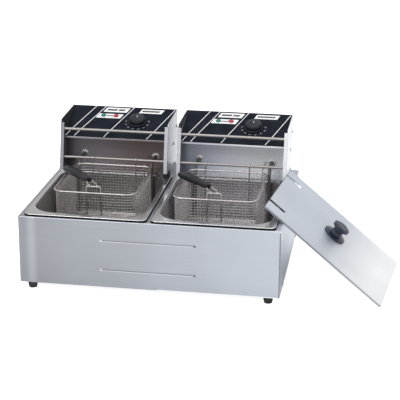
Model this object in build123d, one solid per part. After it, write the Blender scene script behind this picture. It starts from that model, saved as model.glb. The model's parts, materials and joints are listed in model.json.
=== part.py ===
from build123d import *
from math import atan2, cos, degrees, radians, sin, sqrt
import os

# Twin-tank countertop electric fryer. Millimetres, +Z up, front of the fryer towards -Y.
# The origin is on the surface it stands on, under the middle of the casing.

# Casing, tray and feet
foot_height = 16.0
casing_height = 149.0
casing_sheet = 1.2
casing_corner = 5.0
casing_edge = 3.0
bead_half_length = 100.0
bead_radius = 2.0
bead_stand = 1.0
bead_levels = (38.5, 104.5)
dimple_radius = 3.2
tray_gap = 0.3
tray_upstand = 14.0
vent_pitch = 16.0
vent_width = 5.0
vent_length = 110.0
vent_count = 5
foot_inset_x = 25.0
foot_inset_y = 15.0
foot_top_radius = 11.0
foot_bottom_radius = 8.5
foot_bore = 2.6
foot_recess_radius = 5.2
foot_recess_depth = 6.0
foot_screw_radius = 2.4
foot_screw_head = 3.0
foot_screw_grip = 5.0
foot_flare = 3.0
tray_screw_inset_x = 60.0
tray_screw_inset_y = 65.0
screw_radius = 3.5
screw_height = 2.0
screw_chamfer = 0.7

# Gaps between pieces that can be lifted apart, and between pieces that stay together
seat_gap = 0.3
close_gap = 0.1

# Tanks
tank_gap = 8.0
tank_side_margin = 12.0
tank_front_margin = 3.0
tank_rim_height = 5.0
tank_sheet = 1.2
tank_corner = 14.0
tank_rim_edge = 2.0
tub_width = 240.0
tub_length = 295.0
tub_depth = 145.0
tub_corner = 50.0
tub_floor_corner = 24.0
tub_taper = 1.5
tub_lip_radius = 5.0
tub_front_flange = 20.0
tub_rear_flange = 10.0
tub_side_flange = 12.0
deck_hole_gap = 3.5

# Heads: pairs are the distance ahead of the casing's back and the height above its deck
head_side_margin = 6.5
head_spread = 1.0
head_gap = 3.0
head_foot_depth = 99.0
head_sheet = 1.2
wing_foot = (147.0, 18.0)
wing_tip = (123.0, 130.0)
head_height = 134.0
wing_flange = 8.0
wing_foot_flange = 20.0
wing_corner = 7.0
panel_foot = (120.0, 90.0)
panel_sheet = 1.5
panel_margin = 1.2
nose_height = 3.0
wall_depth = 65.0
wall_height = 79.0
wall_rise = 6.0
louvre_pitch = 12.0
louvre_width = 4.0
louvre_length = 60.0
louvre_count = 5
louvre_rise = 80.0
head_screw_places = ((40.0, 13.0), (15.0, 97.0), (55.0, 65.0))
gland_x = 60.0
gland_rise = 23.0
gland_thread = 8.0
gland_hex = 22.0
gland_bore = 4.5
gland_wall = 2.5
gland_inside = 12.0
gland_outside = 20.0
gland_nut_height = 5.0

# Controls on the sloping panel: distance from the head's middle, and up the slope
knob_place = (40.0, 66.0)
lamp_places = {"green": (-45.0, 87.0), "red": (-15.0, 87.0)}
knob_radius = 21.0
knob_skirt = 3.0
knob_height = 17.0
knob_body_radius = 17.0
knob_draft = 2.0
knob_bar_width = 9.0
knob_lift = 0.8
knob_collar = 3.2
knob_cap = 4.0
pointer_length = 8.0
pointer_width = 1.6
shaft_radius = 3.0
shaft_flat = 1.6
shaft_end = 24.0
shaft_running_gap = 0.05
bushing_radius = 5.0
thermostat_width = 38.0
thermostat_length = 30.0
thermostat_depth = 30.0
thermostat_plate = (44.0, 24.0, 3.0)
tab_length = 8.0
tab_thickness = 0.8
lamp_radius = 6.0
lamp_stem_radius = 4.0
lamp_dome = 2.5
lamp_depth = 22.0

# Parts inside the head: distance to the right of its middle, then ahead of its back or above the deck
terminal_place = (-90.0, 29.0)
terminal_size = (60.0, 18.0, 16.0)
terminal_pitch = 20.0
terminal_screw = 3.2
switch_place = (-10.0, 31.0)
switch_size = (28.0, 16.0, 10.0)
switch_lever_reach = 6.0
cutout_place = (-90.0, 60.0)
cutout_radius = 8.0
cutout_flange = (24.0, 12.0, 1.5)

# Rods across the head
rod_radius = 3.0
upper_rod_place = (123.0, 108.0)
lower_rod_rise = 44.0

# Heating element
element_radius = 4.0
element_side_gap = 35.0
element_rear_gap = 11.0
element_front_gap = 42.0
element_floor_gap = 20.0
element_exit_rise = 34.0
element_inner_x = 32.0
element_inner_gap = 53.0
element_bend = 14.0
element_inside = 12.0
element_pin = 2.0
nut_across = 19.0
nut_height = 7.0
washer_margin = 2.0
washer_height = 1.5
capillary_radius = 1.25
capillary_bend = 6.0
bulb_radius = 3.0
bulb_length = 90.0
capillary_step = 15.0
strap_reach = 90.0
strap_width = 12.0
strap_sheet = 1.5

# Baskets
basket_shift = {"left": 2.0, "right": -8.0}
basket_side_gap = 27.0
basket_front_gap = 59.0
basket_rear_gap = 24.0
rim_rise = 31.0
rim_wire = 2.0
rim_corner = 22.0
basket_height = 115.0
mesh_wire = 1.2
mesh_pitch = 14.0
basket_wire = 1.5
hook_spacing = 100.0
hook_tail = 4.0
stay_drop = 15.0
staple_half_width = 15.5
staple_rise = 15.0
staple_drop = 50.0

# Basket handles
fork_wire = 1.4
fork_half_width = 9.8
fork_skew = 36.0
eye_radius = 4.0
grip_start = 32.0
grip_end = 158.0
grip_near = (15.0, 11.0)
grip_far = (26.0, 14.0)
grip_corner = 4.0
grip_edge = 2.0
grip_swell = 3.5
grip_near_rise = 6.0
grip_far_rise = -3.0
grip_bury = 25.0
hang_hole_radius = 3.5
hang_hole_inset = 12.0
fork_grip_half_width = 4.0

# Lid, leaning on the right side of the casing
lid_width = 258.0
lid_length = 320.0
lid_sheet = 1.2
lid_edge = 5.0
lid_corner = 5.0
lid_slot_x = 87.0
lid_slot_width = 11.0
lid_slot_length = 42.0
lid_tilt = 38.0
lid_turn = 6.6
lid_middle_y = -33.0
lid_knob_base = 26.0
lid_knob_waist = 12.0
lid_knob_top = 19.5
lid_knob_height = 29.0
lid_screw_radius = 2.3
lid_screw_length = 13.0

deck = foot_height + casing_height
tank_top = deck + tank_rim_height
tank_width = tub_width + 2 * tub_side_flange
tank_depth = tub_length + tub_front_flange + tub_rear_flange
tank_spacing = tank_width + tank_gap
casing_width = tank_spacing + tank_width + 2 * tank_side_margin
casing_depth = tank_front_margin + tank_depth + head_gap + head_foot_depth
casing_back = casing_depth / 2
tank_front = tank_front_margin - casing_back
tub_front = tank_front + tub_front_flange
tub_back = tub_front + tub_length
tub_floor = tank_top - tub_depth
sides = {"left": -1, "right": 1}
os.makedirs("parts", exist_ok=True)


def save(shape, name):
    export_step(shape, f"parts/{name}.step")


def above_deck(place):
    return (casing_back - place[0], deck + place[1])


def block(x0, x1, y0, y1, z0, z1):
    return Pos((x0 + x1) / 2, (y0 + y1) / 2, (z0 + z1) / 2) * Box(x1 - x0, y1 - y0, z1 - z0)


def rounded_block(width, depth, radius, z0, z1, y=0.0):
    return extrude(Pos(0, y, z0) * RectangleRounded(width, depth, radius), z1 - z0)


def side_profile(points, x0, x1):
    outline = Polyline(*[(x0, y, z) for y, z in points], close=True)
    return extrude(make_face(outline), x1 - x0, dir=(1, 0, 0))


def wire_along(path, radius):
    return sweep(Plane(path @ 0, z_dir=path % 0) * Circle(radius), path)


def upright(radius, z0, z1, top_radius=None):
    outline = Polyline((0, z0), (radius, z0), (top_radius or radius, z1), (0, z1), close=True)
    return revolve(Plane.XZ * make_face(outline), Axis.Z)


def rod_between(start, end, radius):
    run = Vector(*end) - Vector(*start)
    return Plane(Vector(*start), z_dir=run) * upright(radius, 0, run.length)


def screw_head(x, y, z, turn):
    head = Pos(0, 0, close_gap) * upright(screw_radius, 0, screw_height - screw_chamfer)
    dome = upright(screw_radius, screw_height - screw_chamfer, screw_height, screw_radius - screw_chamfer)
    return Pos(x, y, z) * turn * (head + Pos(0, 0, close_gap) * dome)


def group(solids):
    return Compound(children=list(solids))


# Casing: one folded body with the deck, cut out for the tanks
tub_middle_y = (tub_front + tub_back) / 2
hole_width = tub_width + 2 * (tank_sheet + deck_hole_gap)
hole_length = tub_length + 2 * (tank_sheet + deck_hole_gap)
hole_corner = tub_corner + tank_sheet + deck_hole_gap
inner_width = casing_width - 2 * casing_sheet
inner_depth = casing_depth - 2 * casing_sheet


def make_casing():
    outer = rounded_block(casing_width, casing_depth, casing_corner, foot_height, deck)
    outer = fillet(outer.faces().sort_by(Axis.Z)[-1].edges(), casing_edge)
    inner_corner = casing_corner - casing_sheet
    inner = rounded_block(inner_width, inner_depth, inner_corner, foot_height, deck - casing_sheet)
    inner = fillet(inner.faces().sort_by(Axis.Z)[-1].edges(), casing_edge - casing_sheet)
    casing = outer - inner
    for sign in sides.values():
        hole = rounded_block(hole_width, hole_length, hole_corner, deck - 10, deck + 10, tub_middle_y)
        casing -= Pos(sign * tank_spacing / 2, 0, 0) * hole
    bead = SlotCenterToCenter(2 * bead_half_length, 2 * bead_radius)
    for x in (-bead_half_length, bead_half_length):
        bead += Pos(x, 0, 0) * Circle(dimple_radius)
    for level in bead_levels:
        front = Plane((0, -casing_depth / 2, foot_height + level), x_dir=(1, 0, 0), z_dir=(0, -1, 0))
        raised = extrude(front * bead, bead_stand)
        raised = fillet(raised.faces().sort_by(Axis.Y)[0].edges(), bead_stand / 2)
        casing += raised
    return casing


tray_width = inner_width - 2 * tray_gap
tray_depth = inner_depth - 2 * tray_gap
foot_x = casing_width / 2 - foot_inset_x
foot_y = casing_depth / 2 - foot_inset_y
feet_places = [(-foot_x, -foot_y), (foot_x, -foot_y), (-foot_x, foot_y), (foot_x, foot_y)]


def make_tray():
    radius = casing_corner - casing_sheet
    tray = rounded_block(tray_width, tray_depth, radius, foot_height, foot_height + tray_upstand)
    hollow = rounded_block(
        tray_width - 2 * casing_sheet,
        tray_depth - 2 * casing_sheet,
        radius - casing_sheet,
        foot_height + casing_sheet,
        foot_height + tray_upstand + 1,
    )
    tray -= hollow
    slot = SlotOverall(vent_length, vent_width, rotation=90)
    for x in (-tank_spacing / 2, tank_spacing / 2):
        vents = Sketch() + GridLocations(vent_pitch, 0, vent_count, 1) * slot
        tray -= Pos(x, 0, foot_height - 1) * extrude(vents, casing_sheet + 2)
    for x, y in feet_places:
        tray -= Pos(x, y, 0) * upright(foot_bore, foot_height - 1, foot_height + casing_sheet + 1)
    return tray


def make_foot():
    top = foot_height - close_gap
    foot = upright(foot_bottom_radius, 0, top - foot_flare, foot_top_radius)
    foot += upright(foot_top_radius, top - foot_flare, top)
    return foot - upright(foot_bore, -1, foot_height) - upright(foot_recess_radius, -1, foot_recess_depth)


def make_foot_screw():
    head_top = foot_recess_depth - close_gap
    shank_top = foot_height + casing_sheet + foot_screw_grip
    head = upright(foot_recess_radius - 2 * seat_gap, head_top - foot_screw_head, head_top)
    return head + upright(foot_screw_radius, head_top, shank_top)


def make_tray_screws():
    z = foot_height + tray_upstand / 2
    side_x, screw_x = casing_width / 2, casing_width / 2 - tray_screw_inset_x
    screw_y = casing_back - tray_screw_inset_y
    heads = [screw_head(x, casing_back, z, Rot(-90, 0, 0)) for x in (-screw_x, 0, screw_x)]
    for sign in sides.values():
        turn = Rot(0, sign * 90, 0)
        heads += [screw_head(sign * side_x, y, z, turn) for y in (-screw_y, screw_y)]
    return group(heads)


# Tank: pressed tub with a flat rim, turned down all round to stand on the deck
rim_middle_y = tank_front + tank_depth / 2


def tub_solid(width, length, corner, floor_corner, top, bottom):
    sketch = Pos(0, tub_middle_y, top) * RectangleRounded(width, length, corner)
    tub = extrude(sketch, top - bottom, dir=(0, 0, -1), taper=tub_taper)
    return fillet(tub.faces().sort_by(Axis.Z)[0].edges(), floor_corner)


def mouth_edges(tank, level):
    level_edges = [edge for edge in tank.edges() if abs(edge.bounding_box().size.Z) < 0.001]
    edges = [edge for edge in level_edges if abs(edge.center().Z - level) < 0.001]
    half = (tub_length + tank_depth) / 4
    inside_rim = [edge for edge in edges if abs(edge.center().X) < (tub_width + tank_width) / 4]
    return [edge for edge in inside_rim if abs(edge.center().Y - tub_middle_y) < half]


def make_tank():
    rim = rounded_block(tank_width, tank_depth, tank_corner, deck + seat_gap, tank_top, rim_middle_y)
    rim = fillet(rim.faces().sort_by(Axis.Z)[-1].edges(), tank_rim_edge)
    rim -= rounded_block(
        tank_width - 2 * tank_sheet,
        tank_depth - 2 * tank_sheet,
        tank_corner - tank_sheet,
        deck,
        tank_top - tank_sheet,
        rim_middle_y,
    )
    under = tank_top - tank_sheet
    width = tub_width + 2 * tank_sheet
    length = tub_length + 2 * tank_sheet
    tank = rim + tub_solid(width, length, tub_corner + tank_sheet, tub_floor_corner, under, tub_floor)
    tank = fillet(mouth_edges(tank, under), tub_lip_radius - tank_sheet)
    inner_corner = tub_floor_corner - tank_sheet
    tank -= tub_solid(tub_width, tub_length, tub_corner, inner_corner, tank_top, tub_floor + tank_sheet)
    return fillet(mouth_edges(tank, tank_top), tub_lip_radius)


# Head: folded outer shell, folded inner front, base plate
head_width = tank_width - 2 * head_side_margin
head_spacing = tank_spacing + head_spread
head_foot_front = casing_back - head_foot_depth
wing_bottom_front = above_deck(wing_foot)
wing_top_front = above_deck(wing_tip)
head_back = above_deck((0, head_height))
panel_front = above_deck(panel_foot)
wall_y, wall_top = above_deck((wall_depth, wall_height))
floor_height = deck + wall_rise
louvre_level = deck + louvre_rise
gland_level = deck + gland_rise
upper_rod = above_deck(upper_rod_place)
element_leg_x = tub_width / 2 - element_side_gap
element_leg_y = tub_back - element_rear_gap
element_exit_level = deck + element_exit_rise
element_level = tub_floor + element_floor_gap
element_front = tub_front + element_front_gap
element_inner_back = tub_back - element_inner_gap
capillary_x = element_leg_x - capillary_step
strap_y = element_front + strap_reach
basket_front = tub_front + basket_front_gap
basket_back = tub_back - basket_rear_gap
basket_width = tub_width - 2 * basket_side_gap
rim_level = deck + rim_rise
slope = atan2(head_back[1] - panel_front[1], head_back[0] - panel_front[0])
panel_length = sqrt((head_back[0] - panel_front[0]) ** 2 + (head_back[1] - panel_front[1]) ** 2)
panel_plane = Plane((0, *panel_front), x_dir=(1, 0, 0), z_dir=(0, -sin(slope), cos(slope)))
inside = head_width / 2 - head_sheet
shell_bottom = deck + seat_gap
front_half = inside - close_gap
rod_length = 2 * (inside - close_gap / 2)
lower_rod_y = basket_back - 2 * rim_wire + 2 * basket_wire + seat_gap + rod_radius
lower_rod = (lower_rod_y, deck + lower_rod_rise)


def make_shell():
    outline = [
        wing_bottom_front, wing_top_front, head_back, (head_back[0], shell_bottom),
        (head_foot_front, shell_bottom), (head_foot_front, wing_bottom_front[1]),
    ]
    wing = side_profile(outline, 0, head_sheet)
    wing = fillet(wing.edges().filter_by(Axis.X).sort_by(Axis.Y)[1], wing_corner)
    lean = (wing_top_front[0] - wing_bottom_front[0]) / (wing_top_front[1] - wing_bottom_front[1])
    top = wing_top_front[1] - wing_corner
    low_y, low_z = wing_bottom_front
    high_y = low_y + lean * (top - low_z)
    flange_points = [(low_y, low_z), (high_y, top), (high_y + head_sheet, top), (low_y + head_sheet, low_z)]
    flange = side_profile(flange_points, 0, wing_flange)
    foot = block(0, wing_foot_flange, low_y, wall_y - seat_gap, low_z, low_z + head_sheet)
    left = Pos(-head_width / 2, 0, 0) * (wing + flange + foot)
    back_y, back_top = head_back
    back = block(-inside, inside, back_y - head_sheet, back_y, shell_bottom, back_top - head_sheet)
    slot = SlotOverall(louvre_length, louvre_width)
    louvres = Sketch() + GridLocations(0, louvre_pitch, 1, louvre_count) * slot
    back -= Pos(0, back_y + 5, louvre_level) * extrude(Plane.XZ * louvres, 10)
    hole_start = (gland_x, back_y - 2 * head_sheet, gland_level)
    hole_end = (gland_x, back_y + head_sheet, gland_level)
    back -= rod_between(hole_start, hole_end, gland_thread + close_gap)
    return left + back + mirror(left, about=Plane.YZ)


sheet_top = panel_plane.offset(-panel_sheet - close_gap)


def on_panel(plane, up, out=0.0):
    point = plane.from_local_coords((0, up, out))
    return (point.Y, point.Z)


def make_inner_front():
    rear_y = head_back[0] - head_sheet - close_gap
    rear_up = (rear_y - sheet_top.origin.Y) / cos(slope)
    nose = (sheet_top.origin.Y, sheet_top.origin.Z - nose_height)
    outline = [
        (sheet_top.origin.Y, sheet_top.origin.Z), nose, (wall_y, wall_top), (wall_y, floor_height),
        (head_foot_front + seat_gap, floor_height), (head_foot_front + seat_gap, shell_bottom + seat_gap),
        (rear_y, shell_bottom + seat_gap), on_panel(sheet_top, rear_up),
    ]
    face = make_face(Polyline(*[(-front_half, y, z) for y, z in outline], close=True))
    hollow = offset(face, -head_sheet, kind=Kind.INTERSECTION)
    body = extrude(face, 2 * front_half, dir=(1, 0, 0)) - extrude(hollow, 2 * front_half, dir=(1, 0, 0))
    open_top = on_panel(sheet_top, rear_up, -4)[1]
    body -= block(-inside, inside, rear_y - head_sheet, rear_y + 1, shell_bottom, open_top)
    foot_y = head_foot_front + seat_gap + head_sheet
    body -= block(-inside, inside, foot_y, rear_y + 1, shell_bottom, shell_bottom + seat_gap + head_sheet)
    reach = 4 * head_sheet
    body -= sheet_top * Pos(*knob_place, 0) * upright(bushing_radius + close_gap, -reach, reach)
    for place in lamp_places.values():
        body -= sheet_top * Pos(*place, 0) * upright(lamp_stem_radius + close_gap, -reach, reach)
    for x in (-element_leg_x, element_leg_x):
        body -= wall_hole(x, element_radius + close_gap)
    return body - wall_hole(capillary_x, capillary_radius + seat_gap)


def wall_hole(x, radius):
    reach = 4 * head_sheet
    start = (x, wall_y - reach, element_exit_level)
    return rod_between(start, (x, wall_y + reach, element_exit_level), radius)


def make_head_base():
    y0 = head_foot_front + seat_gap + head_sheet + close_gap
    y1 = head_back[0] - head_sheet - close_gap
    low = shell_bottom + seat_gap
    return block(-front_half, front_half, y0, y1, low, low + head_sheet)


def make_panel():
    length = panel_length - head_sheet - 2 * panel_margin
    face = RectangleRounded(2 * (inside - panel_margin), length, 2)
    panel = Pos(0, panel_margin + length / 2, -panel_sheet) * extrude(face, panel_sheet)
    panel -= Pos(*knob_place, 0) * upright(bushing_radius + seat_gap, -2 * panel_sheet, panel_sheet)
    for place in lamp_places.values():
        panel -= Pos(*place, 0) * upright(lamp_stem_radius + close_gap, -2 * panel_sheet, panel_sheet)
    return panel_plane * panel


def make_knob():
    skirt_top = knob_lift + knob_skirt
    skirt = upright(knob_radius, knob_lift, skirt_top - 1)
    skirt += upright(knob_radius, skirt_top - 1, skirt_top, knob_radius - 1)
    bar = upright(knob_body_radius, skirt_top, knob_height, knob_body_radius - knob_draft)
    for side in (-1, 1):
        near = side * knob_bar_width / 2
        far = side * knob_radius
        x0, x1 = min(near, far), max(near, far)
        bar -= block(x0, x1, -knob_radius, knob_radius, skirt_top + 1, knob_height + 1)
    collar = upright(knob_body_radius - 1, skirt_top, skirt_top + knob_collar)
    mark = knob_body_radius - knob_draft - 1
    half = pointer_width / 2
    pointer = block(-half, half, mark - pointer_length, mark, knob_height - half, knob_height + 1)
    bore = upright(shaft_radius + shaft_running_gap, -1, knob_height - knob_cap + 1)
    return panel_plane * Pos(*knob_place, 0) * (skirt + bar + collar - pointer - bore)


def make_shaft():
    top = knob_height - knob_cap
    shaft = upright(shaft_radius, -shaft_end, top)
    flat = block(-shaft_radius, shaft_radius, shaft_flat, 2 * shaft_radius, top - tab_length, top + 1)
    return panel_plane * Pos(*knob_place, 0) * (shaft - flat)


def make_thermostat():
    width, length, thickness = thermostat_plate
    top = -panel_sheet - head_sheet - 2 * close_gap
    plate = block(-width / 2, width / 2, -length / 2, length / 2, top - thickness, top)
    half_width, half_length = thermostat_width / 2, thermostat_length / 2
    can = block(-half_width, half_width, -half_length, half_length, -thermostat_depth, top - thickness)
    can = fillet(can.edges().filter_by(Axis.Z), thickness)
    bushing = upright(bushing_radius, top - thickness, knob_lift - 2 * close_gap)
    bore = upright(shaft_radius + shaft_running_gap, -shaft_end - close_gap, knob_lift)
    low = -thermostat_depth - tab_length
    blade = block(-thickness, thickness, -tab_thickness / 2, tab_thickness / 2, low, -thermostat_depth)
    tabs = [Pos(x, 0, 0) * blade for x in (-half_width / 2, half_width / 2)]
    return panel_plane * Pos(*knob_place, 0) * (can + plate + bushing + tabs - bore)


def make_lamp(place):
    edge = lamp_dome - close_gap - 1
    lens = upright(lamp_radius, close_gap, edge) + upright(lamp_radius, edge, lamp_dome, lamp_radius - 1.5)
    stem = upright(lamp_stem_radius, -lamp_depth, close_gap)
    half = lamp_stem_radius / 2
    blade = block(-tab_thickness / 2, tab_thickness / 2, -half, half, -lamp_depth - tab_length, -lamp_depth)
    tabs = [Pos(x, 0, 0) * blade for x in (-half, half)]
    return panel_plane * Pos(*place, 0) * (lens + stem + tabs)


def make_element():
    x, inner = element_leg_x, element_inner_x
    high, low = element_exit_level, element_level
    end_y = wall_y + element_inside
    half = [(x, end_y, high), (x, element_leg_y, high), (x, element_leg_y, low), (x, element_front, low)]
    half += [(inner, element_front, low), (inner, element_inner_back, low)]
    points = half + [(-px, py, pz) for px, py, pz in reversed(half)]
    path = FilletPolyline(*points, radius=element_bend)
    element = wire_along(path, element_radius)
    for side in (-x, x):
        element += rod_between((side, end_y, high), (side, end_y + element_inside, high), element_pin)
    return element


def make_nuts():
    hexagon = RegularPolygon(nut_across / 2, 6, major_radius=False)
    nut = extrude(hexagon, nut_height) + upright(nut_across / 2 + washer_margin, 0, washer_height)
    nut -= upright(element_radius + close_gap, -1, nut_height + 1)
    seat = wall_y - close_gap
    places = [Pos(x, seat, element_exit_level) for x in (-element_leg_x, element_leg_x)]
    return group(place * Rot(90, 0, 0) * nut for place in places)


def make_strap():
    y0, y1 = strap_y - strap_width / 2, strap_y + strap_width / 2
    half = element_leg_x + element_radius + close_gap + strap_sheet
    low = element_level - element_radius - close_gap
    strap = block(-half, half, y0, y1, low - strap_sheet, low)
    for x in (-element_leg_x, -element_inner_x, element_inner_x, element_leg_x):
        for side in (-1, 1):
            near = x + side * (element_radius + close_gap)
            far = near + side * strap_sheet
            strap += block(min(near, far), max(near, far), y0, y1, low, low + 2 * element_radius)
    return strap


def make_bulb():
    level = element_level + element_radius + bulb_radius + seat_gap
    bulb_end = strap_y + bulb_length / 2
    bulb = rod_between((0, strap_y - bulb_length / 2, level), (0, bulb_end, level), bulb_radius)
    down_y = element_leg_y - element_radius
    end_y = wall_y + element_inside
    points = [
        (0, bulb_end - bulb_radius, level), (0, down_y, level), (capillary_x, down_y, level),
        (capillary_x, down_y, element_exit_level), (capillary_x, end_y, element_exit_level),
    ]
    return bulb + wire_along(FilletPolyline(*points, radius=capillary_bend), capillary_radius)


base_top = shell_bottom + seat_gap + head_sheet + close_gap


def make_terminal_block():
    x, y = terminal_place[0], casing_back - terminal_place[1]
    width, depth, height = terminal_size
    top = base_top + height
    body = block(x, x + width, y, y + depth, base_top, top)
    for index in range(3):
        screw_x = x + width / 2 + (index - 1) * terminal_pitch
        body -= Pos(screw_x, y + depth / 2, 0) * upright(terminal_screw, top - 5, top + 1)
    return body


def make_safety_switch():
    x, y = switch_place[0], casing_back - switch_place[1]
    width, depth, height = switch_size
    top = base_top + height
    middle = x + width / 2
    body = block(x, x + width, y, y + depth, base_top, top)
    post = block(middle - 2, middle + 2, y + 2, y + 4, top, top + 2)
    reach = y + depth + switch_lever_reach
    lever = side_profile([(y + 2, top + 1), (reach, top + 4), (reach, top + 5), (y + 2, top + 2)], -2, 2)
    return body + post + Pos(middle, 0, 0) * lever


def make_cut_out():
    x, z = cutout_place[0], deck + cutout_place[1]
    y = head_back[0] - head_sheet - close_gap
    width, height, thickness = cutout_flange
    can_end = y - 2 * cutout_radius
    can = rod_between((x, can_end, z), (x, y, z), cutout_radius)
    flange = block(x - width / 2, x + width / 2, y - thickness, y, z - height / 2, z + height / 2)
    half = tab_thickness / 2
    tabs = [block(x + s - 3, x + s + 3, can_end - tab_length, can_end, z - half, z + half) for s in (-4, 4)]
    return can + flange + tabs


def make_gland():
    hexagon = RegularPolygon(gland_hex / 2, 6, major_radius=False)
    half = gland_outside / 2
    body = Pos(0, 0, close_gap) * extrude(hexagon, half)
    body += upright(gland_hex / 2, half + close_gap, gland_outside + close_gap, gland_bore + gland_wall)
    body += upright(gland_thread, -head_sheet - gland_inside, close_gap)
    body -= upright(gland_bore, -2 * gland_outside, 2 * gland_outside)
    return Pos(gland_x, head_back[0], gland_level) * Rot(-90, 0, 0) * body


def make_gland_nut():
    inner_y = head_back[0] - head_sheet - close_gap
    nut = extrude(RegularPolygon(gland_hex / 2, 6, major_radius=False), gland_nut_height)
    nut -= upright(gland_thread + close_gap, -1, gland_nut_height + 1)
    return Pos(gland_x, inner_y, gland_level) * Rot(90, 0, 0) * nut


def make_head_screws():
    heads = []
    for sign in sides.values():
        for y, z in map(above_deck, head_screw_places):
            heads.append(screw_head(sign * head_width / 2, y, z, Rot(0, sign * 90, 0)))
    return group(heads)


def make_rod(place):
    y, z = place
    return rod_between((-rod_length / 2, y, z), (rod_length / 2, y, z), rod_radius)


# Basket: wire frame with hooks and staple, and walls of crossed wires set just inside it
rim_half = basket_width / 2 - rim_wire
rim_front = basket_front + rim_wire
rim_back = basket_back - rim_wire
basket_floor = rim_level - basket_height
mesh_half = rim_half - rim_wire - close_gap
mesh_corner = rim_corner - rim_wire
mesh_front = rim_front + rim_wire + close_gap
mesh_back = rim_back - rim_wire - close_gap
staple_y = rim_front + rim_wire - basket_wire
hook_y = rim_back - rim_wire + basket_wire
staple_top = rim_level + staple_rise


def make_basket_frame():
    depth = rim_back - rim_front
    ring = Pos(0, (rim_front + rim_back) / 2, rim_level) * RectangleRounded(2 * rim_half, depth, rim_corner)
    frame = wire_along(ring.face().outer_wire(), rim_wire)
    rod_y, rod_z = lower_rod
    reach = rod_y - hook_y
    for x in (-hook_spacing / 2, hook_spacing / 2):
        up = Line((x, hook_y, basket_floor), (x, hook_y, rod_z))
        over = ThreePointArc((x, hook_y, rod_z), (x, rod_y, rod_z + reach), (x, rod_y + reach, rod_z))
        down = Line((x, rod_y + reach, rod_z), (x, rod_y + reach, rod_z - hook_tail))
        frame += wire_along(Wire([up, over, down]), basket_wire)
    stay = rim_level - stay_drop
    frame += rod_between((-mesh_half + 8, hook_y, stay), (mesh_half - 8, hook_y, stay), basket_wire)
    points = [
        (-staple_half_width, staple_y, rim_level - staple_drop), (-staple_half_width, staple_y, staple_top),
        (staple_half_width, staple_y, staple_top), (staple_half_width, staple_y, rim_level - staple_drop),
    ]
    return frame + wire_along(FilletPolyline(*points, radius=3), basket_wire)


def ladder(width, height, upright):
    span, run = (width, height) if upright else (height, width)
    count = max(round(span / mesh_pitch), 2)
    pitch = (span - mesh_wire) / count
    gap = Rectangle(pitch - mesh_wire, run - 2 * mesh_wire)
    if not upright:
        gap = Rot(0, 0, 90) * gap
    places = GridLocations(pitch, 0, count, 1) if upright else GridLocations(0, pitch, 1, count)
    return extrude(Rectangle(width, height) - places * gap, mesh_wire)


def make_wall(width, middle, turn):
    height = rim_level - basket_floor
    place = Pos(*middle, (rim_level + basket_floor) / 2) * Rot(0, 0, turn) * Rot(90, 0, 0)
    uprights = place * Pos(0, 0, -mesh_wire) * ladder(width, height, True)
    levels = place * Pos(0, 0, -2 * mesh_wire) * ladder(width, height, False)
    return [uprights, levels]


def make_basket_mesh():
    middle_y = (mesh_front + mesh_back) / 2
    depth = mesh_back - mesh_front
    across = 2 * (mesh_half - mesh_corner)
    along = depth - 2 * mesh_corner
    walls = make_wall(across, (0, mesh_front), 0) + make_wall(across, (0, mesh_back), 180)
    walls += make_wall(along, (mesh_half, middle_y), 90) + make_wall(along, (-mesh_half, middle_y), -90)
    half = mesh_corner / 2
    slant = mesh_corner * sqrt(2) - 2 * mesh_wire
    corners = {45: (1, mesh_front + half), 135: (1, mesh_back - half)}
    corners.update({-45: (-1, mesh_front + half), -135: (-1, mesh_back - half)})
    for turn, (side, y) in corners.items():
        walls.append(make_wall(slant, (side * (mesh_half - half), y), turn)[0])
    floor_width = 2 * mesh_half - 4 * mesh_wire - 2 * close_gap
    floor_depth = depth - 4 * mesh_wire - 2 * close_gap
    outline = chamfer(Rectangle(floor_width, floor_depth).vertices(), mesh_corner)
    edging = outline - offset(outline, -mesh_wire)
    for layer, upright in enumerate((True, False)):
        floor = ladder(floor_width, floor_depth, upright)
        floor = (floor & extrude(outline, mesh_wire)) + extrude(edging, mesh_wire)
        walls.append(Pos(0, middle_y, basket_floor + layer * mesh_wire) * floor)
    return group(walls)


# Handle: drawn with its left leg's eye at the origin, the grip towards +Y, then turned to its folded place
def fold_place(shape):
    return Pos(-fork_half_width, staple_y, staple_top) * Rot(0, 0, fork_skew) * shape


def grip_lift(y):
    return grip_near_rise + (grip_far_rise - grip_near_rise) * (y - grip_start) / (grip_end - grip_start)


def fork_path():
    tip = grip_start + grip_bury
    near = fork_half_width - fork_grip_half_width
    far = fork_half_width + fork_grip_half_width
    bend, end = (0, grip_start - 4, grip_lift(grip_start - 4)), (0, tip, grip_lift(tip))
    points = [
        (0, eye_radius, 0), (near, *bend[1:]), (near, *end[1:]),
        (far, *end[1:]), (far, *bend[1:]), (2 * fork_half_width, eye_radius, 0),
    ]
    return FilletPolyline(*points, radius=[12, fork_grip_half_width - 0.2, fork_grip_half_width - 0.2, 12])


def make_fork():
    eye = Rot(0, 90, 0) * Torus(eye_radius, fork_wire)
    size = 2 * (eye_radius + fork_wire) + 1
    hook = Pos(2 * fork_half_width, 0, 0) * (eye & block(-size, size, -size, size, -size, 0))
    return fold_place(eye + hook + wire_along(fork_path(), fork_wire))


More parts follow.
